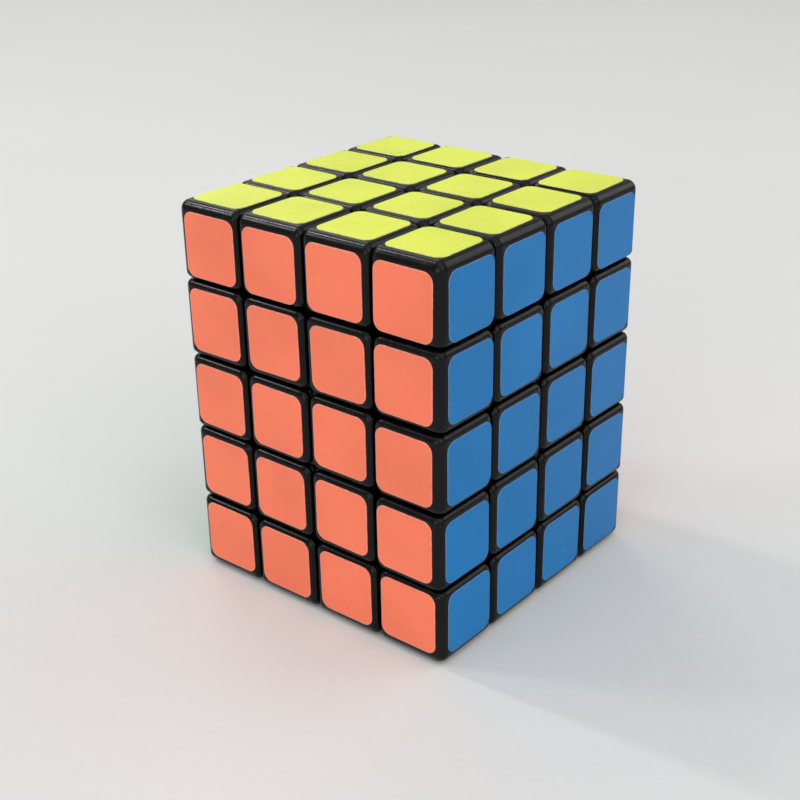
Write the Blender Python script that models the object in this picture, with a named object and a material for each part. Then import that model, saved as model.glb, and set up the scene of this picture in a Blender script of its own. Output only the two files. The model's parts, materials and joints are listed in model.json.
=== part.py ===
"""A twisty puzzle block, four cubies wide, four deep and five tall.

A six-armed core holds one sprung screw for each face. The screw holds the carrier of that face, and
the cubies around it are held in by feet that reach under their neighbours, inside four nested balls.

The origin is under the middle of the bottom face, +Z is up through the five layers, and the front
face looks along -Y. Every joint axis passes through the middle of the core, where every piece has
its origin.
"""

import math

import bmesh
import bpy
from mathutils import Matrix, Vector

MM = 0.001

# The outside: cubies per side, their spacing, and the rounding of an outer edge.
LAYERS = 5
PITCH = 15.5 * MM
HALF_WIDTH = 2 * PITCH
HALF_HEIGHT = LAYERS / 2 * PITCH
CORE_CENTRE = Vector((0, 0, HALF_HEIGHT))
EDGE_RADIUS = 1.0 * MM
EDGE_SEGMENTS = 2
GROOVE_DEPTH = 3.4 * MM
BAR_HALF_WIDTH = 3.0 * MM

# Running gaps: between flat faces, and on each side of a ball where two pieces slide. The balls
# have flat facets, so a hollow one comes nearer to the core between its corners.
GAP = 0.3 * MM
BALL_GAP = 0.35 * MM
LEG_INSET = 0.05 * MM

# The balls about the core inside which the legs, the feet and the tabs lie, and the one they ride on.
LEG_BALL = 34.4 * MM
FOOT_BALL = 31.2 * MM
TAB_BALL = 28.0 * MM
INNER_BALL = 25.0 * MM
BALL_SUBDIVISIONS = 3

# Where each hidden boundary lies, a few millimetres inside the groove that shows.
SIDE_FOOT = PITCH - 4.5 * MM
TOP_LEG = 1.5 * PITCH - 4.0 * MM
TOP_FOOT = 1.5 * PITCH - 7.0 * MM
MIDDLE_TAB = 0.5 * PITCH - 3.0 * MM

# The carriers, measured outwards from the core's centre along an arm.
CARRIER_BALL = 24.6 * MM
CARRIER_BASE = 17.6 * MM
WELL_FLOOR = 19.6 * MM
WELL_TOP = 25.4 * MM
WELL_RADIUS = 3.8 * MM
SCREW_CLEARANCE = 1.8 * MM
PEG_OFFSET = 6.4 * MM
PEG_SIDE = 2.4 * MM
PEG_TOP = 27.5 * MM
COLUMN_HALF_WIDTH = 8.0 * MM
COLUMN_TOP = 28.0 * MM

# The core, its screws and its springs, measured the same way.
HUB_RADIUS = 8.5 * MM
ARM_RADIUS = 4.5 * MM
ARM_END = CARRIER_BASE - GAP
ARM_BORE_RADIUS = 1.7 * MM
ARM_BORE_BOTTOM = 9.8 * MM
SCREW_TIP = 10.4 * MM
SCREW_RADIUS = 1.4 * MM
HEAD_BOTTOM = 22.6 * MM
HEAD_TOP = 24.0 * MM
HEAD_RADIUS = 3.3 * MM
HEAD_CHAMFER = 0.4 * MM
RECESS_LENGTH = 3.6 * MM
RECESS_WIDTH = 0.9 * MM
RECESS_DEPTH = 0.9 * MM
WIRE_RADIUS = 0.25 * MM
SPRING_RADIUS = 2.6 * MM
SPRING_TURNS = 3
SPRING_STEPS = 12
SPRING_BOTTOM = WELL_FLOOR + WIRE_RADIUS + 0.15 * MM
SPRING_TOP = HEAD_BOTTOM - WIRE_RADIUS - 0.15 * MM

ROUND_SEGMENTS = 16
FAR = 60 * MM
SMOOTH_ANGLE = math.radians(35)
UP = Vector((0, 0, 1))

# Quarter turns about +Z that carry the front face, or the front right edge, to each place.
FACES = ("front", "right", "back", "left")
EDGES = ("front_right", "back_right", "back_left", "front_left")


def clear_scene():
    for old in list(bpy.data.objects):
        bpy.data.objects.remove(old, do_unlink=True)


def material(name, color, roughness, metallic=0.0):
    made = bpy.data.materials.new(name)
    made.use_nodes = True
    made.diffuse_color = (*color, 1.0)
    shader = made.node_tree.nodes["Principled BSDF"]
    shader.inputs["Base Color"].default_value = (*color, 1.0)
    shader.inputs["Roughness"].default_value = roughness
    shader.inputs["Metallic"].default_value = metallic
    return made


def helper(name, shape):
    """A working object that Booleans use up before the script ends."""
    mesh = bpy.data.meshes.new(name)
    shape.to_mesh(mesh)
    shape.free()
    made = bpy.data.objects.new(name, mesh)
    bpy.context.scene.collection.objects.link(made)
    return made


def block(x, y, z):
    """A box between three pairs of limits."""
    shape = bmesh.new()
    bmesh.ops.create_cube(shape, size=1.0)
    sizes = [high - low for low, high in (x, y, z)]
    centre = [(high + low) / 2 for low, high in (x, y, z)]
    bmesh.ops.scale(shape, vec=sizes, verts=shape.verts)
    bmesh.ops.translate(shape, vec=centre, verts=shape.verts)
    return helper("block", shape)


def ball(radius):
    shape = bmesh.new()
    bmesh.ops.create_icosphere(shape, subdivisions=BALL_SUBDIVISIONS, radius=radius)
    return helper("ball", shape)


def rod(radius, bottom, top):
    """A round bar along +Z."""
    shape = bmesh.new()
    bmesh.ops.create_cone(
        shape,
        cap_ends=True,
        segments=ROUND_SEGMENTS,
        radius1=radius,
        radius2=radius,
        depth=top - bottom,
    )
    bmesh.ops.translate(shape, vec=UP * (bottom + top) / 2, verts=shape.verts)
    return helper("rod", shape)


def combine(base, other, operation):
    """Works one Boolean into the base and removes the other object."""
    modifier = base.modifiers.new(operation.lower(), "BOOLEAN")
    modifier.operation = operation
    modifier.solver = "EXACT"
    modifier.object = other
    graph = bpy.context.evaluated_depsgraph_get()
    result = bpy.data.meshes.new_from_object(base.evaluated_get(graph))
    base.modifiers.clear()
    base.data = result
    bpy.data.objects.remove(other, do_unlink=True)
    return base


def join(base, *others):
    for other in others:
        combine(base, other, "UNION")
    return base


def cut(base, *others):
    for other in others:
        combine(base, other, "DIFFERENCE")
    return base


def trimmed(solid, radius):
    """The part of a solid that lies inside a ball about the core."""
    return combine(solid, ball(radius), "INTERSECT")


def turned(solid, matrix):
    solid.data.transform(matrix)
    return solid


def cubie(x, y, z):
    """One cubie's block between grid lines, rounded around each of its faces that shows."""
    limits = []
    shown = []
    halves = (HALF_WIDTH, HALF_WIDTH, HALF_HEIGHT)
    for axis, (low, high) in enumerate((x, y, z)):
        ends = []
        for value, inward in ((low * PITCH, 1), (high * PITCH, -1)):
            if math.isclose(abs(value), halves[axis]):
                shown.append((axis, value))
                ends.append(value)
            else:
                ends.append(value + inward * GAP / 2)
        limits.append(ends)
    solid = block(*limits)
    shape = bmesh.new()
    shape.from_mesh(solid.data)
    rounded = [
        edge
        for edge in shape.edges
        if any(
            all(math.isclose(vert.co[axis], value, abs_tol=GAP / 10) for vert in edge.verts)
            for axis, value in shown
        )
    ]
    bmesh.ops.bevel(
        shape,
        geom=rounded,
        offset=EDGE_RADIUS,
        offset_type="OFFSET",
        segments=EDGE_SEGMENTS,
        profile=0.5,
        affect="EDGES",
    )
    shape.to_mesh(solid.data)
    shape.free()
    return solid


def either_side(limit, others, radius, axis):
    """Two cutters that trim a piece beyond plus and minus a limit, inside a ball."""
    cutters = []
    for low, high in ((limit, FAR), (-FAR, -limit)):
        sides = list(others)
        sides.insert(axis, (low, high))
        cutters.append(trimmed(block(*sides), radius + BALL_GAP))
    return cutters


ALL = (-FAR, FAR)


def inner_hollow():
    return ball(INNER_BALL + BALL_GAP)


def leg(x, y, z, shell):
    """A hidden part of a piece: a block that ends at one of the nested balls."""
    return trimmed(block(x, y, z), shell - BALL_GAP)


def corner():
    """The top corner at the front right."""
    near = PITCH + GAP / 2 + LEG_INSET
    foot = SIDE_FOOT + GAP / 2
    solid = join(
        cubie((1, 2), (-2, -1), (1.5, 2.5)),
        leg((near, FAR), (-FAR, -near), (TOP_LEG + GAP / 2, FAR), LEG_BALL),
        leg((foot, FAR), (-FAR, -foot), (TOP_FOOT + GAP / 2, FAR), FOOT_BALL),
    )
    return cut(solid, inner_hollow())


def above(height, shell):
    """What a layer gives up to the layer above it, inside a ball."""
    return trimmed(block(ALL, ALL, (height - GAP / 2, FAR)), shell + BALL_GAP)


def upper_edge():
    """The upright edge of the fourth layer at the front right."""
    foot = SIDE_FOOT + GAP / 2
    side = (foot, FAR)
    front = (-FAR, -foot)
    roof = TOP_FOOT - GAP / 2 - LEG_INSET
    solid = join(
        cubie((1, 2), (-2, -1), (0.5, 1.5)),
        leg(side, front, (PITCH / 2 + GAP / 2 + LEG_INSET, roof), FOOT_BALL),
        leg(side, front, (MIDDLE_TAB + GAP / 2, roof - LEG_INSET), TAB_BALL),
    )
    return cut(solid, above(TOP_LEG, LEG_BALL), above(TOP_FOOT, FOOT_BALL), inner_hollow())


def middle_edge():
    """The upright edge of the middle layer at the front right."""
    foot = SIDE_FOOT + GAP / 2
    half = PITCH / 2 - GAP / 2 - LEG_INSET
    solid = join(
        cubie((1, 2), (-2, -1), (-0.5, 0.5)),
        leg((foot, FAR), (-FAR, -foot), (-half, half), FOOT_BALL),
    )
    return cut(solid, *either_side(MIDDLE_TAB - GAP / 2, (ALL, ALL), TAB_BALL, 2), inner_hollow())


def pair(floor, roof):
    """Two neighbouring front cubies and the bar that joins them under their groove."""
    lift = 1.5 * MM
    top = min(roof * PITCH, HALF_HEIGHT - GROOVE_DEPTH)
    bar = block(
        (-BAR_HALF_WIDTH, BAR_HALF_WIDTH),
        (GROOVE_DEPTH - HALF_WIDTH, -PITCH - lift),
        (floor * PITCH + lift, top - lift),
    )
    return join(
        cubie((-1, 0), (-2, -1), (floor, roof)), cubie((0, 1), (-2, -1), (floor, roof)), bar
    )


def side_trims(axis=0):
    """What a face's inner pieces give up to the feet on both sides of them."""
    return either_side(SIDE_FOOT - GAP / 2, (ALL, ALL), FOOT_BALL, axis)


def top_edge_pair():
    """The two top cubies between the corners of the front face."""
    half = PITCH - GAP / 2 - LEG_INSET
    foot_half = SIDE_FOOT - GAP / 2 - LEG_INSET
    near = PITCH + GAP / 2 + LEG_INSET
    foot = SIDE_FOOT + GAP / 2
    solid = join(
        pair(1.5, 2.5),
        leg((-half, half), (-FAR, -near), (TOP_LEG + GAP / 2, FAR), LEG_BALL),
        leg((-foot_half, foot_half), (-FAR, -foot), (TOP_FOOT + GAP / 2, FAR), FOOT_BALL),
    )
    return cut(solid, *side_trims(), inner_hollow())


def upper_side_pair():
    """The front pair of the fourth layer, with its tab under the middle pair."""
    half = SIDE_FOOT - GAP / 2 - LEG_INSET
    roof = TOP_FOOT - GAP / 2 - LEG_INSET
    tab = leg((-half, half), (-FAR, -SIDE_FOOT), (MIDDLE_TAB + GAP / 2, roof), TAB_BALL)
    solid = join(pair(0.5, 1.5), tab)
    trims = [above(TOP_LEG, LEG_BALL), above(TOP_FOOT, FOOT_BALL)]
    return cut(solid, *side_trims(), *trims, inner_hollow())


def pegs(grow):
    """The two pegs that key a carrier to its pair, or with a clearance the sockets for them."""
    half = PEG_SIDE / 2 + grow
    made = []
    for side in (-1, 1):
        x = side * PEG_OFFSET
        made.append(
            block((x - half, x + half), (-PEG_TOP - grow, -CARRIER_BASE - grow - half), (-half, half))
        )
    return made


def middle_side_pair():
    """The front pair of the middle layer, with sockets for its carrier's pegs."""
    room_for_tabs = either_side(MIDDLE_TAB - GAP / 2, (ALL, ALL), TAB_BALL, 2)
    return cut(pair(-0.5, 0.5), *side_trims(), *room_for_tabs, inner_hollow(), *pegs(GAP))


def carrier_disc():
    """The ball-shaped disc that a face turns on, about +Z."""
    return trimmed(block(ALL, ALL, (CARRIER_BASE, FAR)), CARRIER_BALL)


def well():
    """The bore for the screw and the wider well for its head and spring, about +Z."""
    return [
        rod(SCREW_CLEARANCE, CARRIER_BASE - 2 * GAP, WELL_FLOOR + GAP),
        rod(WELL_RADIUS, WELL_FLOOR, WELL_TOP),
    ]


def face_carrier():
    """The front face's carrier, with its pegs and its well."""
    lay_forward = Matrix.Rotation(math.pi / 2, 4, "X")
    disc = turned(carrier_disc(), lay_forward)
    wells = [turned(bore, lay_forward) for bore in well()]
    return cut(join(disc, *pegs(0)), *wells)


def top_centres():
    """The four top cubies inside the ring of edges, on the carrier they are clipped to."""
    solid = cubie((-1, 0), (-1, 0), (1.5, 2.5))
    for x, y in ((0, -1), (-1, 0), (0, 0)):
        join(solid, cubie((x, x + 1), (y, y + 1), (1.5, 2.5)))
    half = PITCH - GAP / 2 - LEG_INSET
    foot_half = SIDE_FOOT - GAP / 2 - LEG_INSET
    plate = (GROOVE_DEPTH - PITCH, PITCH - GROOVE_DEPTH)
    join(
        solid,
        block(plate, plate, (1.5 * PITCH + GAP, HALF_HEIGHT - GROOVE_DEPTH)),
        leg((-half, half), (-half, half), (TOP_LEG + GAP / 2, FAR), LEG_BALL),
        leg((-foot_half, foot_half), (-foot_half, foot_half), (TOP_FOOT + GAP / 2, FAR), FOOT_BALL),
    )
    cut(solid, *side_trims(0), *side_trims(1), inner_hollow())
    across = (-COLUMN_HALF_WIDTH, COLUMN_HALF_WIDTH)
    join(solid, carrier_disc(), block(across, across, (WELL_FLOOR, COLUMN_TOP)))
    return cut(solid, *well())


def core_spider():
    """The hub and its six bored arms."""
    shape = bmesh.new()
    bmesh.ops.create_icosphere(shape, subdivisions=3, radius=HUB_RADIUS)
    solid = helper("hub", shape)
    arms = [arm_matrix(*aim) for aim in ARM_AIMS.values()]
    join(solid, *[turned(rod(ARM_RADIUS, 0, ARM_END), matrix) for matrix in arms])
    bores = [rod(ARM_BORE_RADIUS, ARM_BORE_BOTTOM, ARM_END + GAP) for _ in arms]
    return cut(solid, *[turned(bore, matrix) for bore, matrix in zip(bores, arms)])


def screw():
    """A flanged machine screw along +Z with a cross recess in its head."""
    shape = bmesh.new()
    profile = [
        (0, SCREW_TIP),
        (SCREW_RADIUS * 0.6, SCREW_TIP),
        (SCREW_RADIUS, SCREW_TIP + SCREW_RADIUS),
        (SCREW_RADIUS, HEAD_BOTTOM),
        (HEAD_RADIUS, HEAD_BOTTOM),
        (HEAD_RADIUS, HEAD_TOP - HEAD_CHAMFER),
        (HEAD_RADIUS - HEAD_CHAMFER, HEAD_TOP),
        (0, HEAD_TOP),
    ]
    points = [shape.verts.new((radius, 0, height)) for radius, height in profile]
    lines = [shape.edges.new(ends) for ends in zip(points, points[1:])]
    bmesh.ops.spin(
        shape,
        geom=points + lines,
        axis=UP,
        cent=(0, 0, 0),
        steps=ROUND_SEGMENTS,
        angle=2 * math.pi,
        use_merge=True,
    )
    bmesh.ops.remove_doubles(shape, verts=shape.verts, dist=GAP / 100)
    bmesh.ops.recalc_face_normals(shape, faces=shape.faces)
    solid = helper("screw", shape)
    long = (-RECESS_LENGTH / 2, RECESS_LENGTH / 2)
    narrow = (-RECESS_WIDTH / 2, RECESS_WIDTH / 2)
    deep = (HEAD_TOP - RECESS_DEPTH, FAR)
    return cut(solid, block(long, narrow, deep), block(narrow, long, deep))


def spring_curve():
    """A short compression spring's wire as a curve about +Z."""
    curve = bpy.data.curves.new("spring", "CURVE")
    curve.dimensions = "3D"
    curve.bevel_depth = WIRE_RADIUS
    curve.bevel_resolution = 0
    curve.use_fill_caps = True
    count = SPRING_TURNS * SPRING_STEPS + 1
    path = curve.splines.new("POLY")
    path.points.add(count - 1)
    for index, point in enumerate(path.points):
        angle = 2 * math.pi * index / SPRING_STEPS
        rise = SPRING_BOTTOM + (SPRING_TOP - SPRING_BOTTOM) * index / (count - 1)
        point.co = (SPRING_RADIUS * math.cos(angle), SPRING_RADIUS * math.sin(angle), rise, 1)
    path.use_smooth = True
    return curve


ARM_AIMS = {
    "front": (math.pi / 2, 0),
    "right": (math.pi / 2, math.pi / 2),
    "back": (math.pi / 2, math.pi),
    "left": (math.pi / 2, -math.pi / 2),
    "top": (0, 0),
    "bottom": (math.pi, 0),
}


def arm_matrix(tilt, heading):
    """Turns +Z to an arm's direction."""
    return Matrix.Rotation(heading, 4, "Z") @ Matrix.Rotation(tilt, 4, "X")


def finish_mesh(solid, name):
    """Takes a template's mesh out of the scene, shaded smooth except at real corners."""
    mesh = solid.data
    mesh.name = name
    mesh.shade_smooth()
    mesh.set_sharp_from_angle(angle=SMOOTH_ANGLE)
    bpy.data.objects.remove(solid, do_unlink=True)
    return mesh


def place(name, data, look, turn=None):
    """One node: a copy of a template, turned about the middle of the core."""
    made = bpy.data.objects.new(name, data)
    bpy.context.scene.collection.objects.link(made)
    made.matrix_world = Matrix.Translation(CORE_CENTRE) @ (turn or Matrix.Identity(4))
    data.materials.clear()
    data.materials.append(look)
    return made


def quarter(index):
    return Matrix.Rotation(index * math.pi / 2, 4, "Z")


def place_ring(names, mesh, look, flip_axis=None):
    """Four copies around +Z. A flip axis turns each one over first, for the lower half."""
    flip = Matrix.Rotation(math.pi, 4, flip_axis) if flip_axis else Matrix.Identity(4)
    for index, name in enumerate(names):
        place(name, mesh, look, quarter(index) @ flip)


def main():
    clear_scene()
    cubie_plastic = material("cubie_plastic", (0.018, 0.018, 0.020), 0.32)
    carrier_plastic = material("carrier_plastic", (0.045, 0.045, 0.050), 0.45)
    core_plastic = material("core_plastic", (0.60, 0.60, 0.58), 0.50)
    screw_steel = material("screw_steel", (0.62, 0.61, 0.58), 0.28, 1.0)
    spring_steel = material("spring_steel", (0.50, 0.50, 0.50), 0.35, 1.0)

    over_face = Vector((0, 1, 0))
    over_edge = Vector((1, -1, 0)).normalized()
    corner_mesh = finish_mesh(corner(), "corner")
    top_pair_mesh = finish_mesh(top_edge_pair(), "top_edge_pair")
    upper_edge_mesh = finish_mesh(upper_edge(), "upper_edge")
    upper_pair_mesh = finish_mesh(upper_side_pair(), "upper_side_pair")
    centres_mesh = finish_mesh(top_centres(), "centres")
    for level, layer, flipped in (("top", 4, False), ("bottom", 2, True)):
        edge_flip = over_edge if flipped else None
        face_flip = over_face if flipped else None
        corners = [f"{level}_corner_{edge}" for edge in EDGES]
        place_ring(corners, corner_mesh, cubie_plastic, edge_flip)
        edges = [f"{level}_edge_pair_{face}" for face in FACES]
        place_ring(edges, top_pair_mesh, cubie_plastic, face_flip)
        uprights = [f"upright_edge_{edge}_layer_{layer}" for edge in EDGES]
        place_ring(uprights, upper_edge_mesh, cubie_plastic, edge_flip)
        sides = [f"{face}_centre_pair_layer_{layer}" for face in FACES]
        place_ring(sides, upper_pair_mesh, cubie_plastic, face_flip)
        turn = Matrix.Rotation(math.pi, 4, "Y") if flipped else None
        place(f"{level}_centre_block", centres_mesh, cubie_plastic, turn)

    uprights = [f"upright_edge_{edge}_layer_3" for edge in EDGES]
    place_ring(uprights, finish_mesh(middle_edge(), "middle_edge"), cubie_plastic)
    sides = [f"{face}_centre_pair_layer_3" for face in FACES]
    place_ring(sides, finish_mesh(middle_side_pair(), "middle_pair"), cubie_plastic)
    carriers = [f"{face}_carrier" for face in FACES]
    place_ring(carriers, finish_mesh(face_carrier(), "carrier"), carrier_plastic)

    place("core_spider", finish_mesh(core_spider(), "core_spider"), core_plastic)
    screw_mesh = finish_mesh(screw(), "screw")
    spring = spring_curve()
    for arm, aim in ARM_AIMS.items():
        place(f"{arm}_screw", screw_mesh, screw_steel, arm_matrix(*aim))
        place(f"{arm}_spring", spring, spring_steel, arm_matrix(*aim))


main()
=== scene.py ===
"""The looks of the twisty puzzle block, four cubies wide, four deep and five tall.

Every cubie that shows becomes a piece of its own, cut from its CAD solid with finely rounded edges,
and carries one vinyl sticker for each of its faces that shows. The mechanism inside keeps its CAD
solids and gets better materials. Lengths are in metres, in the frame of the CAD model.
"""

import json
import math

import bmesh
import bpy
import numpy as np
from mathutils import Matrix, Vector


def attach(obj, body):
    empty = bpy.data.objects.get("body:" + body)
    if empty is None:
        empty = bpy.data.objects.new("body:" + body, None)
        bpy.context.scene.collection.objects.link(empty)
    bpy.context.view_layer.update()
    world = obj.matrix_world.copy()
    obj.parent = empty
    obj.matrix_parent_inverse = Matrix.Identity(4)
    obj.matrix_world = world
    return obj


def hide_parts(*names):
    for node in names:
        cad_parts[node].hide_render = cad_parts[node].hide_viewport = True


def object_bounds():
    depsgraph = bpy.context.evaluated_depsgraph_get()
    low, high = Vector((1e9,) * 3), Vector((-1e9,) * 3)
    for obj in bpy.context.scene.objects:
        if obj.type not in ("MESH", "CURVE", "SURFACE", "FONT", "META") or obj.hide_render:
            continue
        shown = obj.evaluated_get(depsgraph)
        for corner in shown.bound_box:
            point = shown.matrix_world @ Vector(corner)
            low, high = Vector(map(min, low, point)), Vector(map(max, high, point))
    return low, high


MM = 0.001
SEED = 11

# The grid of cubies along X, Y and Z, and the gap that the CAD model leaves between two of them.
WIDE = 4
TALL = 5
COUNTS = (WIDE, WIDE, TALL)
GAP = 0.3 * MM

# A cubie's outside. Its sides stand a hair inside the CAD solid's, and its shown faces stand back
# to leave room for the stickers. The outer radius is for an edge between two faces that are both
# shown or both hidden, and the other one for the edges that are still sharper than the rim angle.
SIDE_INSET = 0.02 * MM
FACE_INSET = 0.2 * MM
OUTER_RADIUS = 1.9 * MM
EDGE_RADIUS = 1.3 * MM
RIM_ANGLE = math.radians(60)
EDGE_SEGMENTS = 8

# Where the CAD solid's own inner shape takes over: this deep under the outside of the whole
# object, and this near the core at its sides and at its ends.
SKIN_DEPTH = 1.7 * MM
SIDE_REACH = 31.6 * MM
END_REACH = 34.8 * MM

# The seam between two cubies of one CAD node in there, so thin that no light comes through.
PAIR_SEAM = 0.02 * MM

# Vertices nearer than the first are joined, and shading breaks at edges sharper than the second.
MERGE_DISTANCE = GAP / 100
SMOOTH_ANGLE = math.radians(32)

# The carrier inside a top or bottom centre, which stays one piece under its four cubies: a ball
# and a square column, with room around the column.
CARRIER_REACH = 25.0 * MM
COLUMN_HALF_WIDTH = 8.0 * MM
COLUMN_TOP = 28.0 * MM
COLUMN_ROOM = 0.15 * MM

# Vinyl stickers, put on by hand. On a cubie with more than one of them, each is drawn in from the
# edge that it shares with another.
STICKER_SIZE = 12.6 * MM
STICKER_CORNER = 1.9 * MM
STICKER_CORNER_STEPS = 8
STICKER_THICKNESS = 0.16 * MM
STICKER_EMBED = 0.03 * MM
STICKER_RIM = 0.13 * MM
STICKER_DRAW_IN = 0.5 * MM

# How far a cubie sits from its place, and a sticker from the middle of its face.
CUBIE_SHIFT = 0.04 * MM
CUBIE_TILT = math.radians(0.14)
STICKER_SHIFT = 0.14 * MM
STICKER_TWIST = math.radians(0.7)

# How far each layer is turned from true, from the bottom up, as a loose puzzle's layers are.
LAYER_YAWS = [math.radians(yaw) for yaw in (0.12, -0.40, -0.06, 0.15, 0.32)]

# Each face's axis, its direction along that axis, and its sticker's colour.
FACES = {
    "front": (1, -1, "orange"),
    "right": (0, 1, "blue"),
    "back": (1, 1, "red"),
    "left": (0, -1, "green"),
    "top": (2, 1, "yellow"),
    "bottom": (2, -1, "white"),
}
STICKER_COLORS = {
    "orange": (0.97, 0.212, 0.114),
    "blue": (0.001, 0.180, 0.490),
    "red": (0.62, 0.018, 0.026),
    "green": (0.018, 0.400, 0.090),
    "yellow": (0.75, 0.82, 0.085),
    "white": (0.84, 0.84, 0.82),
}

# The studio: a flat floor, the curve at its border and the wall that follows.
FLOOR_MIDDLE = 0.45
FLOOR_RADIUS = 1.5
FLOOR_BEND = 0.9
FLOOR_BEND_STEPS = 12
FLOOR_SECTORS = 72
WALL_HEIGHT = 1.5
FLOOR_SHADES = ((0.700, 0.702, 0.692), (0.722, 0.720, 0.708))

# Each softbox's place, width, height, brightness and colour. All of them face the core.
NEUTRAL = (1.0, 1.0, 1.0)
SOFTBOXES = {
    "key": ((-0.79, -0.44, 0.74), 0.18, 0.20, 12.0, NEUTRAL),
    "strip": ((-0.742, -0.093, 0.92), 0.05, 0.26, 45.0, NEUTRAL),
    "window": ((-1.07, 0.67, 1.00), 0.60, 1.00, 1.4, (1.0, 0.985, 0.96)),
    "overhead": ((0.35, -0.30, 1.30), 1.40, 1.40, 0.80, NEUTRAL),
    "front_fill": ((0.40, -1.40, 0.45), 0.90, 0.80, 2.25, NEUTRAL),
    "right_fill": ((1.20, -0.45, 0.80), 0.90, 0.90, 1.5, NEUTRAL),
    "back_fill": ((0.50, 0.80, 0.62), 0.80, 0.60, 1.4, NEUTRAL),
}
AIR_COLOR = (0.97, 0.98, 1.0, 1)
AIR_BRIGHTNESS = 0.50

# The camera, fitted to the photograph's angle and framing.
CAMERA_FROM_CORE = Vector((155.4, -190.6, 108.8)) * MM
AIM_FROM_CORE = Vector((-2.2, -1.8, -4.9)) * MM
CAMERA_ROLL = math.radians(-0.98)
LENS = 60.9
NEAREST_SEEN = 0.01


# ---------------------------------------------------------------- materials


class Nodes:
    """A material's node tree, with short calls for the nodes that the looks here share."""

    def __init__(self, name):
        self.material = bpy.data.materials.new(name)
        self.material.use_nodes = True
        self.tree = self.material.node_tree
        self.shader = self.tree.nodes["Principled BSDF"]

    def link(self, output, target):
        self.tree.links.new(output, target)

    def coordinates(self, stretch=(1, 1, 1), turn=(0, 0, 0)):
        """The object's own coordinates. A stretch below 1 along an axis draws a pattern out."""
        place = self.tree.nodes.new("ShaderNodeTexCoord")
        mapping = self.tree.nodes.new("ShaderNodeMapping")
        mapping.inputs["Scale"].default_value = stretch
        mapping.inputs["Rotation"].default_value = turn
        self.link(place.outputs["Object"], mapping.inputs["Vector"])
        return mapping.outputs["Vector"]

    def noise(self, size, detail=3.0, roughness=0.5, **where):
        """A noise whose features measure about the given size."""
        made = self.tree.nodes.new("ShaderNodeTexNoise")
        made.inputs["Scale"].default_value = 1 / size
        made.inputs["Detail"].default_value = detail
        made.inputs["Roughness"].default_value = roughness
        self.link(self.coordinates(**where), made.inputs["Vector"])
        return made.outputs["Fac"]

    def specks(self, spacing, size):
        """Small round dots: 1 inside a dot and 0 between them."""
        made = self.tree.nodes.new("ShaderNodeTexVoronoi")
        made.inputs["Scale"].default_value = 1 / spacing
        self.link(self.coordinates(), made.inputs["Vector"])
        return self.spread(made.outputs["Distance"], size / spacing, 0, 0, 1)

    def spread(self, value, low, high, to_low, to_high):
        """Maps low and high to the two new values, smoothly between them and flat outside."""
        made = self.tree.nodes.new("ShaderNodeMapRange")
        made.interpolation_type = "SMOOTHSTEP"
        self.link(value, made.inputs["Value"])
        for name, number in (
            ("From Min", low),
            ("From Max", high),
            ("To Min", to_low),
            ("To Max", to_high),
        ):
            made.inputs[name].default_value = number
        return made.outputs["Result"]

    def math(self, operation, first, second):
        made = self.tree.nodes.new("ShaderNodeMath")
        made.operation = operation
        for socket, value in zip(made.inputs, (first, second)):
            if isinstance(value, (int, float)):
                socket.default_value = value
            else:
                self.link(value, socket)
        return made.outputs["Value"]

    def mix(self, factor, first, second):
        made = self.tree.nodes.new("ShaderNodeMix")
        made.data_type = "RGBA"
        self.link(factor, made.inputs["Factor"])
        for name, color in (("A", first), ("B", second)):
            socket = [s for s in made.inputs if s.name == name and s.type == "RGBA"][0]
            if isinstance(color, tuple):
                socket.default_value = (*color, 1)
            else:
                self.link(color, socket)
        return [s for s in made.outputs if s.type == "RGBA"][0]

    def color(self, output):
        self.link(output, self.shader.inputs["Base Color"])

    def roughness(self, output):
        self.link(output, self.shader.inputs["Roughness"])

    def bump(self, height, depth):
        """Raises the surface by up to the given depth where the height is 1."""
        made = self.tree.nodes.new("ShaderNodeBump")
        made.inputs["Strength"].default_value = 1.0
        made.inputs["Distance"].default_value = depth
        self.link(height, made.inputs["Height"])
        self.link(made.outputs["Normal"], self.shader.inputs["Normal"])


def scaled(color, factor):
    """The color made darker or lighter."""
    return tuple(min(1.0, channel * factor) for channel in color)


def moulded_plastic(name, color, dust, smooth, rough, grain):
    """Injection-moulded plastic: a fine orange peel, uneven gloss, hairline rubbing and dust."""
    look = Nodes(name)
    mottle = look.spread(look.noise(9 * MM), 0.35, 0.65, 0, 1)
    body = look.mix(mottle, scaled(color, 0.8), scaled(color, 1.25))
    lint = look.math("MULTIPLY", look.specks(1.1 * MM, 0.10 * MM), 0.55)
    haze = look.spread(look.noise(2.2 * MM, detail=6), 0.50, 0.80, 0, 0.03)
    look.color(look.mix(look.math("MAXIMUM", lint, haze), body, dust))

    gloss = look.spread(look.noise(3.5 * MM, detail=5), 0.3, 0.7, smooth, rough)
    rubbed = look.noise(0.35 * MM, detail=2, stretch=(1, 1, 0.04), turn=(0.3, 0.5, 0.0))
    look.roughness(look.math("ADD", gloss, look.spread(rubbed, 0.55, 0.8, 0, 0.16)))

    peel = look.noise(0.55 * MM, detail=2)
    pits = look.math("MULTIPLY", look.noise(0.12 * MM, detail=1), 0.35)
    look.bump(look.math("ADD", peel, pits), grain)
    look.shader.inputs["Specular IOR Level"].default_value = 0.2
    return look.material


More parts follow.
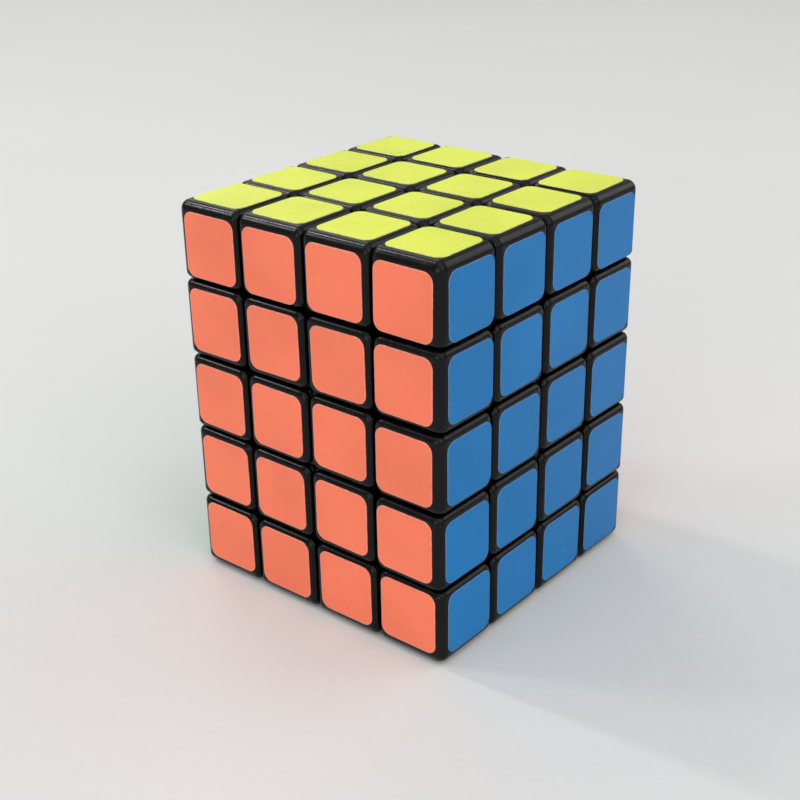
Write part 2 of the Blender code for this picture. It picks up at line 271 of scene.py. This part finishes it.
def vinyl(name, color):
    """A printed vinyl sticker: slightly uneven colour and gloss, with small scuffs."""
    look = Nodes(name)
    broad = look.spread(look.noise(22 * MM, detail=2), 0.35, 0.65, 0, 1)
    body = look.mix(broad, scaled(color, 0.94), scaled(color, 1.05))
    fine = look.spread(look.noise(0.5 * MM, detail=4), 0.4, 0.9, 0, 0.06)
    printed = look.mix(fine, body, tuple(0.85 * c + 0.10 for c in color))
    look.color(look.mix(look.specks(4.5 * MM, 0.11 * MM), printed, scaled(color, 0.55)))

    sheen = look.spread(look.noise(4 * MM, detail=4), 0.3, 0.7, 0.26, 0.33)
    scuffs = look.noise(0.5 * MM, detail=2, stretch=(1, 0.05, 1), turn=(0.6, 0.3, 0.8))
    look.roughness(look.math("SUBTRACT", sheen, look.spread(scuffs, 0.58, 0.8, 0, 0.03)))
    look.bump(look.noise(1.1 * MM, detail=2), 0.004 * MM)
    look.shader.inputs["Specular IOR Level"].default_value = 0.22
    return look.material


def cut_edge(name, color):
    """The paler rim where a sticker was cut from its sheet."""
    look = Nodes(name)
    paler = tuple(0.85 * channel + 0.15 * max(color) for channel in color)
    ragged = look.spread(look.noise(0.9 * MM, detail=3), 0.35, 0.65, 0, 1)
    look.color(look.mix(ragged, paler, scaled(paler, 0.75)))
    look.roughness(look.spread(look.noise(0.3 * MM), 0.3, 0.7, 0.45, 0.65))
    return look.material


def steel(name, color, smooth, rough):
    """Plated steel with fine turning marks and a few stains."""
    look = Nodes(name)
    stain = look.spread(look.noise(1.6 * MM, detail=5), 0.5, 0.75, 0, 1)
    look.color(look.mix(stain, color, scaled(color, 0.72)))
    marks = look.noise(0.10 * MM, detail=2, stretch=(0.08, 1, 1))
    look.roughness(look.spread(marks, 0.3, 0.7, smooth, rough))
    look.bump(marks, 0.004 * MM)
    look.shader.inputs["Metallic"].default_value = 1.0
    return look.material


# ---------------------------------------------------------------- solids


def helper(name, shape):
    """Puts a bmesh into the scene as an object."""
    mesh = bpy.data.meshes.new(name)
    shape.to_mesh(mesh)
    shape.free()
    made = bpy.data.objects.new(name, mesh)
    bpy.context.scene.collection.objects.link(made)
    return made


def block(low, high):
    shape = bmesh.new()
    bmesh.ops.create_cube(shape, size=1)
    size = Vector(high) - Vector(low)
    middle = (Vector(high) + Vector(low)) / 2
    bmesh.ops.transform(
        shape, matrix=Matrix.LocRotScale(middle, None, size), verts=shape.verts
    )
    return helper("block", shape)


def ball(radius):
    """A ball about the core."""
    shape = bmesh.new()
    bmesh.ops.create_icosphere(shape, subdivisions=4, radius=radius)
    bmesh.ops.translate(shape, vec=CORE, verts=shape.verts)
    return helper("ball", shape)


def combine(base, other, operation):
    """Changes the base by a boolean with the other solid, which is used up."""
    modifier = base.modifiers.new(operation.lower(), "BOOLEAN")
    modifier.operation = operation
    modifier.solver = "EXACT"
    modifier.object = other
    graph = bpy.context.evaluated_depsgraph_get()
    result = bpy.data.meshes.new_from_object(base.evaluated_get(graph))
    base.modifiers.clear()
    base.data = result
    bpy.data.objects.remove(other, do_unlink=True)
    return base


def cad_copy(node):
    """A copy of a CAD node's solid, with the vertices joined that its normals had split."""
    shape = bmesh.new()
    shape.from_mesh(frame["nodes"][node].data)
    bmesh.ops.remove_doubles(shape, verts=shape.verts, dist=MERGE_DISTANCE)
    for face in shape.faces:
        face.smooth = True
    return helper(node + "_copy", shape)


def bevel(shape, edges, radius):
    """Rounds some of a shape's edges."""
    bmesh.ops.bevel(
        shape,
        geom=edges,
        affect="EDGES",
        offset=radius,
        offset_type="OFFSET",
        segments=EDGE_SEGMENTS,
        profile=0.5,
        clamp_overlap=True,
    )


def rounded_block(low, high, shown):
    """A block with its edges rounded: widely between two shown faces or two hidden ones, and
    then finely along the rim where a shown face meets a hidden one."""
    solid = block(low, high)
    shape = bmesh.new()
    shape.from_mesh(solid.data)
    shape.normal_update()

    def is_shown(face):
        return any(face.normal[FACES[name][0]] * FACES[name][1] > 0.5 for name in shown)

    alike = [
        edge
        for edge in shape.edges
        if len({is_shown(face) for face in edge.link_faces}) == 1
    ]
    bevel(shape, alike, OUTER_RADIUS)
    rim = [edge for edge in shape.edges if edge.calc_face_angle() > RIM_ANGLE]
    bevel(shape, rim, EDGE_RADIUS)
    shape.to_mesh(solid.data)
    shape.free()
    return solid


# ---------------------------------------------------------------- cubies


def shown_faces(cell):
    """The faces of the whole object that a cell of the grid takes part in."""
    return [
        face
        for face, (axis, way, _) in FACES.items()
        if cell[axis] == (COUNTS[axis] - 1 if way > 0 else 0)
    ]


def cell_middle(cell):
    """The middle of a cell of the grid."""
    return LOWEST + (Vector(cell) + Vector((0.5, 0.5, 0.5))) * PITCH


def names_of(cell):
    """The CAD node that holds a cell of the grid, and the name of the cubie there."""
    x_word = "left" if cell[0] < WIDE / 2 else "right"
    y_word = "front" if cell[1] < WIDE / 2 else "back"
    shown = shown_faces(cell)
    sides = [face for face in shown if face not in ("top", "bottom")]
    level = next((face for face in shown if face in ("top", "bottom")), None)
    layer = f"layer_{cell[2] + 1}"
    if len(sides) == 2:
        stem = f"{level}_corner" if level else "upright_edge"
        name = f"{stem}_{y_word}_{x_word}"
        return (name, name) if level else (f"{name}_{layer}", f"{name}_{layer}")
    if not sides:
        return f"{level}_centre_block", f"{level}_centre_{y_word}_{x_word}"
    side = sides[0]
    half = x_word if FACES[side][0] == 1 else y_word
    if level:
        return f"{level}_edge_pair_{side}", f"{level}_edge_{side}_{half}"
    return f"{side}_centre_pair_{layer}", f"{side}_centre_{half}_{layer}"


def cell_limits(cell, inset, face_inset):
    """The cell's lowest and highest corner, drawn in at its neighbours and at its shown faces."""
    low, high = Vector(), Vector()
    for axis, index in enumerate(cell):
        low[axis] = LOWEST[axis] + index * PITCH + (inset if index else face_inset)
        last = index == COUNTS[axis] - 1
        high[axis] = LOWEST[axis] + (index + 1) * PITCH - (face_inset if last else inset)
    return low, high


def inner_region(cell, shown):
    """Where a cubie keeps its CAD solid's shape: under its skin, and on its own side of a split."""
    low = LOWEST + Vector((SKIN_DEPTH,) * 3)
    high = HIGHEST - Vector((SKIN_DEPTH,) * 3)
    sides = [face for face in shown if face not in ("top", "bottom")]
    paired = [axis for axis in (0, 1) if axis not in [FACES[face][0] for face in sides]]
    for axis in paired:
        if cell[axis] < WIDE / 2:
            high[axis] = CORE[axis] + GAP / 2 - PAIR_SEAM
        else:
            low[axis] = CORE[axis] + GAP / 2
    at_end = len(sides) < len(shown)
    return combine(block(low, high), ball(END_REACH if at_end else SIDE_REACH), "INTERSECT")


def column(grow, way):
    """The square post that joins an end carrier to its four cubies."""
    half = COLUMN_HALF_WIDTH + grow
    ends = sorted((0, way * (COLUMN_TOP + grow)))
    return block(
        CORE + Vector((-half, -half, ends[0])), CORE + Vector((half, half, ends[1]))
    )


def finish(solid, name, look):
    """Makes a worked solid into a shown piece with smooth rounded edges."""
    solid.name = name
    solid.data.name = name
    solid.data.materials.clear()
    solid.data.materials.append(look)
    solid.data.shade_smooth()
    solid.data.set_sharp_from_angle(angle=SMOOTH_ANGLE)
    solid.modifiers.new("even_normals", "WEIGHTED_NORMAL").keep_sharp = True
    return solid


def cubie(cell, node, name, shown):
    """A cubie with a finely rounded outside and its CAD solid's own shape further in."""
    skin = rounded_block(*cell_limits(cell, GAP / 2 + SIDE_INSET, FACE_INSET), shown)
    region = combine(skin, inner_region(cell, shown), "UNION")
    solid = combine(cad_copy(node), region, "INTERSECT")
    if node.endswith("centre_block"):
        way = 1 if "top" in shown else -1
        combine(solid, ball(CARRIER_REACH), "DIFFERENCE")
        combine(solid, column(COLUMN_ROOM, way), "DIFFERENCE")
    piece = finish(solid, name + "_cubie", plastic)
    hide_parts(node)
    return piece


def end_carrier(level):
    """Makes the piece that an end's centre block holds under its four cubies."""
    node = f"{level}_centre_block"
    way = FACES[level][1]
    region = combine(ball(CARRIER_REACH), column(0, way), "UNION")
    solid = combine(cad_copy(node), region, "INTERSECT")
    piece = finish(solid, f"{level}_centre_carrier", carrier_look)
    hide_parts(node)
    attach(piece, f"{level}_centre")


# ---------------------------------------------------------------- stickers


def rounded_square(half, radius):
    """The outline's points, anticlockwise."""
    points = []
    for quarter in range(4):
        turn = Matrix.Rotation(quarter * math.pi / 2, 2)
        middle = Vector((half - radius, half - radius))
        for step in range(STICKER_CORNER_STEPS + 1):
            angle = math.pi / 2 * step / STICKER_CORNER_STEPS
            reach = Vector((math.cos(angle), math.sin(angle))) * radius
            points.append(turn @ (middle + reach))
    return points


def sticker_mesh():
    """A thin plate with its top at z = 0 and its rim rolled over a little."""
    half = STICKER_SIZE / 2
    # Each ring's reach from the middle and its height, from the bottom up.
    rings = [
        (half, -STICKER_THICKNESS - STICKER_EMBED),
        (half, -0.6 * STICKER_RIM),
        (half - 0.4 * STICKER_RIM, -0.2 * STICKER_RIM),
        (half - STICKER_RIM, 0),
    ]
    shape = bmesh.new()
    loops = []
    for reach, height in rings:
        radius = STICKER_CORNER - (half - reach)
        outline = rounded_square(reach, radius)
        loops.append([shape.verts.new((*point, height)) for point in outline])
    for lower, upper in zip(loops, loops[1:]):
        for index in range(len(lower)):
            after = (index + 1) % len(lower)
            side = shape.faces.new((lower[index], lower[after], upper[after], upper[index]))
            side.material_index = 1
            side.smooth = True
    shape.faces.new(loops[-1])
    shape.faces.new(reversed(loops[0])).material_index = 1
    mesh = bpy.data.meshes.new("sticker")
    shape.to_mesh(mesh)
    shape.free()
    return mesh


def sticker(cell, name, face, template):
    """One sticker, a little off the middle of its face."""
    axis, way, color = FACES[face]
    outward = Vector()
    outward[axis] = way
    middle = cell_middle(cell) + outward * (PITCH / 2 - FACE_INSET + STICKER_THICKNESS)
    for other in shown_faces(cell):
        if other != face:
            middle[FACES[other][0]] -= FACES[other][1] * STICKER_DRAW_IN
    slide = Vector((*random.uniform(-STICKER_SHIFT, STICKER_SHIFT, 2), 0))
    twist = Matrix.Rotation(random.uniform(-STICKER_TWIST, STICKER_TWIST), 4, "Z")
    turn = outward.to_track_quat("Z", "Y").to_matrix().to_4x4()
    made = bpy.data.objects.new(f"{name}_{color}_sticker", template.copy())
    made.data.transform(Matrix.Translation(middle) @ turn @ Matrix.Translation(slide) @ twist)
    made.data.materials.append(vinyls[color])
    made.data.materials.append(cut_edges[color])
    bpy.context.scene.collection.objects.link(made)
    return made


def settle(pieces, cell):
    """Moves a cubie and its stickers together, by as little as real ones sit out of line."""
    middle = cell_middle(cell)
    axis = Vector(random.normal(size=3)).normalized()
    tilt = Matrix.Rotation(random.uniform(-CUBIE_TILT, CUBIE_TILT), 4, axis)
    shift = Matrix.Translation(Vector(random.uniform(-CUBIE_SHIFT, CUBIE_SHIFT, 3)))
    yaw = Matrix.Rotation(LAYER_YAWS[cell[2]], 4, "Z")
    move = yaw @ shift @ Matrix.Translation(middle) @ tilt @ Matrix.Translation(-middle)
    for piece in pieces:
        piece.data.transform(move)


def build_cubies():
    """Makes every cubie that shows, with its stickers, and lets them ride on its CAD body."""
    template = sticker_mesh()
    body_of_node = {
        node: body
        for body, nodes in frame["record"]["behaviour"]["bodies"].items()
        for node in nodes
    }
    for cell in np.ndindex(*COUNTS):
        shown = shown_faces(cell)
        if not shown:
            continue
        node, name = names_of(cell)
        piece = cubie(cell, node, name, shown)
        stickers = [sticker(cell, name, face, template) for face in shown]
        settle([piece, *stickers], cell)
        for made in (piece, *stickers):
            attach(made, body_of_node[node])


# ---------------------------------------------------------------- studio


def pale_floor():
    """A round floor that lies flat under the object and curves up into a wall far from it."""
    profile = [(FLOOR_MIDDLE, 0.0), (FLOOR_RADIUS, 0.0)]
    for step in range(1, FLOOR_BEND_STEPS + 1):
        angle = math.pi / 2 * step / FLOOR_BEND_STEPS
        out = FLOOR_RADIUS + FLOOR_BEND * math.sin(angle)
        profile.append((out, FLOOR_BEND * (1 - math.cos(angle))))
    profile.append((FLOOR_RADIUS + FLOOR_BEND, WALL_HEIGHT))
    shape = bmesh.new()
    sector = 2 * math.pi / FLOOR_SECTORS
    turns = [Matrix.Rotation(index * sector, 4, "Z") for index in range(FLOOR_SECTORS)]
    rings = [
        [shape.verts.new(turn @ Vector((out, 0, up))) for turn in turns] for out, up in profile
    ]
    shape.faces.new(rings[0])
    for near, far in zip(rings, rings[1:]):
        for index in range(FLOOR_SECTORS):
            after = (index + 1) % FLOOR_SECTORS
            tile = shape.faces.new((near[index], far[index], far[after], near[after]))
            tile.smooth = True
    floor = helper("studio_floor", shape)
    look = Nodes("pale_cloth")
    shade = look.spread(look.noise(0.25, detail=2), 0.3, 0.7, 0, 1)
    look.color(look.mix(shade, *FLOOR_SHADES))
    look.roughness(look.spread(look.noise(30 * MM), 0.3, 0.7, 0.75, 0.9))
    fleece = look.noise(0.8 * MM, detail=5, roughness=0.7)
    look.bump(look.math("ADD", fleece, look.noise(14 * MM, detail=2)), 0.10 * MM)
    floor.data.materials.append(look.material)


def softbox(name, place, width, height, brightness, color):
    """A rectangular light that looks equally bright at any size."""
    light = bpy.data.lights.new(name, "AREA")
    light.shape = "RECTANGLE"
    light.size = width
    light.size_y = height
    light.energy = math.pi * width * height * brightness
    light.color = color
    made = bpy.data.objects.new(name, light)
    bpy.context.scene.collection.objects.link(made)
    made.location = place
    made.rotation_euler = (CORE - made.location).to_track_quat("-Z", "Y").to_euler()


def studio():
    pale_floor()
    for name, box in SOFTBOXES.items():
        softbox(name, *box)
    world = bpy.data.worlds.new("studio_air")
    world.use_nodes = True
    air = world.node_tree.nodes["Background"]
    air.inputs["Color"].default_value = AIR_COLOR
    air.inputs["Strength"].default_value = AIR_BRIGHTNESS
    bpy.context.scene.world = world
    bpy.context.scene.view_settings.view_transform = "Standard"


def camera():
    lens = bpy.data.cameras.new("camera")
    lens.lens = LENS
    lens.clip_start = NEAREST_SEEN
    made = bpy.data.objects.new("camera", lens)
    bpy.context.scene.collection.objects.link(made)
    made.location = CORE + CAMERA_FROM_CORE
    look = (CORE + AIM_FROM_CORE - made.location).to_track_quat("-Z", "Y").to_matrix()
    roll = Matrix.Rotation(CAMERA_ROLL, 3, "Z")
    made.rotation_euler = (look @ roll).to_euler()
    bpy.context.scene.camera = made


# ---------------------------------------------------------------- the object


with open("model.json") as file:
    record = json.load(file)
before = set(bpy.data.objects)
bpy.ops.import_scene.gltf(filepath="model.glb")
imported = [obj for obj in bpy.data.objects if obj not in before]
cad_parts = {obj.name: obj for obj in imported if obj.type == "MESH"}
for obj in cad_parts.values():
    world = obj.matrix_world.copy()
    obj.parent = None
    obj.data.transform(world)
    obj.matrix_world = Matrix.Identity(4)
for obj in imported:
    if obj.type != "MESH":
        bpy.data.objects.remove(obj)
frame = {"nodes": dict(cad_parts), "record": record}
LOWEST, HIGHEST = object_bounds()
CORE = (LOWEST + HIGHEST) / 2
PITCH = (HIGHEST.x - LOWEST.x) / WIDE
random = np.random.default_rng(SEED)

plastic = moulded_plastic(
    "cubie_plastic", (0.0020, 0.0020, 0.0023), (0.14, 0.13, 0.12), 0.15, 0.25, 0.006 * MM
)
carrier_look = moulded_plastic(
    "carrier_plastic", (0.030, 0.030, 0.034), (0.20, 0.20, 0.19), 0.38, 0.52, 0.020 * MM
)
core_look = moulded_plastic(
    "core_plastic", (0.62, 0.62, 0.59), (0.42, 0.41, 0.38), 0.42, 0.55, 0.020 * MM
)
screw_look = steel("screw_steel", (0.62, 0.61, 0.58), 0.22, 0.38)
spring_look = steel("spring_steel", (0.50, 0.50, 0.50), 0.28, 0.42)
vinyls = {color: vinyl(f"{color}_vinyl", value) for color, value in STICKER_COLORS.items()}
cut_edges = {
    color: cut_edge(f"{color}_cut_edge", value) for color, value in STICKER_COLORS.items()
}

build_cubies()
for end in ("top", "bottom"):
    end_carrier(end)

# The CAD solids of the mechanism stay, with better materials by the ends of their names.
mechanism_looks = {
    "_screw": screw_look,
    "_spring": spring_look,
    "_carrier": carrier_look,
    "core_spider": core_look,
}
for node_name, node_object in frame["nodes"].items():
    for ending, chosen in mechanism_looks.items():
        if node_name.endswith(ending):
            node_object.data.materials.clear()
            node_object.data.materials.append(chosen)

studio()
camera()
